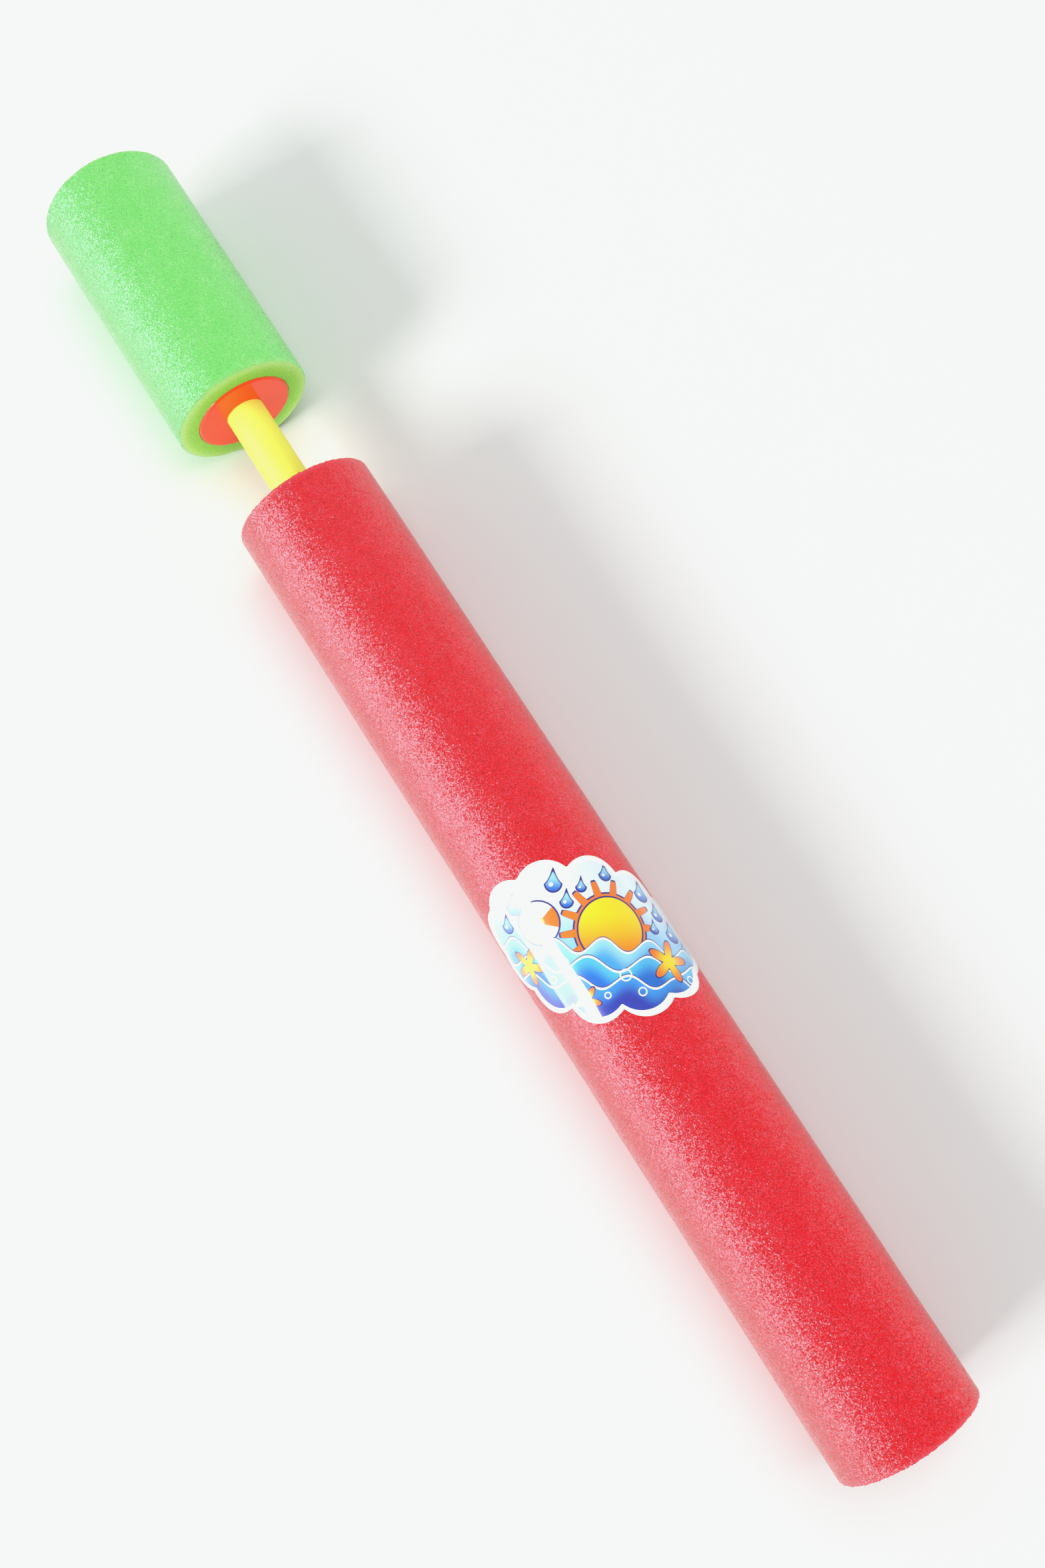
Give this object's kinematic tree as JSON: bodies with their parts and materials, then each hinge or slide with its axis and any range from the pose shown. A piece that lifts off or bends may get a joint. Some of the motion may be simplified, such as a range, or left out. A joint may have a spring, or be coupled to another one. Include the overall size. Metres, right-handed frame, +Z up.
{
  "type": "water squirter",
  "caption": "Foam-covered hand water squirter: a piston on a sliding rod with a foam handle draws water into a tubular barrel and drives it out of a jet.",
  "frame": {"origin": "on the surface that it lies on, under the middle of its length with the plunger as pictured", "axes": "+X along the barrel's axis towards the jet, +Z up through the label, +Y across the barrel"},
  "size_m": [0.489, 0.05, 0.0502],
  "materials": {
    "red_foam": "matte",
    "green_foam": "matte",
    "orange_plastic": "gloss",
    "yellow_plastic": "gloss",
    "white_tube": "satin",
    "white_plastic": "satin",
    "black_rubber": "matte",
    "screw_steel": "satin",
    "label_vinyl": "gloss"
  },
  "bodies": {
    "barrel": {"barrel_foam_sleeve": "red_foam", "barrel_tube": "white_tube", "nozzle_cap": "orange_plastic", "rear_guide_cap": "orange_plastic", "label_sticker": "label_vinyl"},
    "piston_seals": {"piston_o_ring_front": "black_rubber", "piston_o_ring_rear": "black_rubber"},
    "plunger": {"plunger_rod": "yellow_plastic", "rod_front_plug": "white_plastic", "piston_head": "white_plastic", "piston_washer": "screw_steel", "piston_screw": "screw_steel", "handle_core_tube": "white_tube", "handle_front_cap": "orange_plastic", "handle_rear_cap": "orange_plastic", "handle_foam_grip": "green_foam", "rod_rear_plug": "white_plastic", "handle_screw": "screw_steel"}
  },
  "joints": [
    {"name": "plunger_slide", "type": "slide", "parent": "barrel", "child": "piston_seals", "axis": [-1, 0, 0], "range_m": [-0.034, 0.2508]},
    {"name": "plunger_spin", "type": "hinge", "parent": "piston_seals", "child": "plunger", "pos_m": [0, 0, 0.025], "axis": [1, 0, 0], "continuous": true}
  ]
}
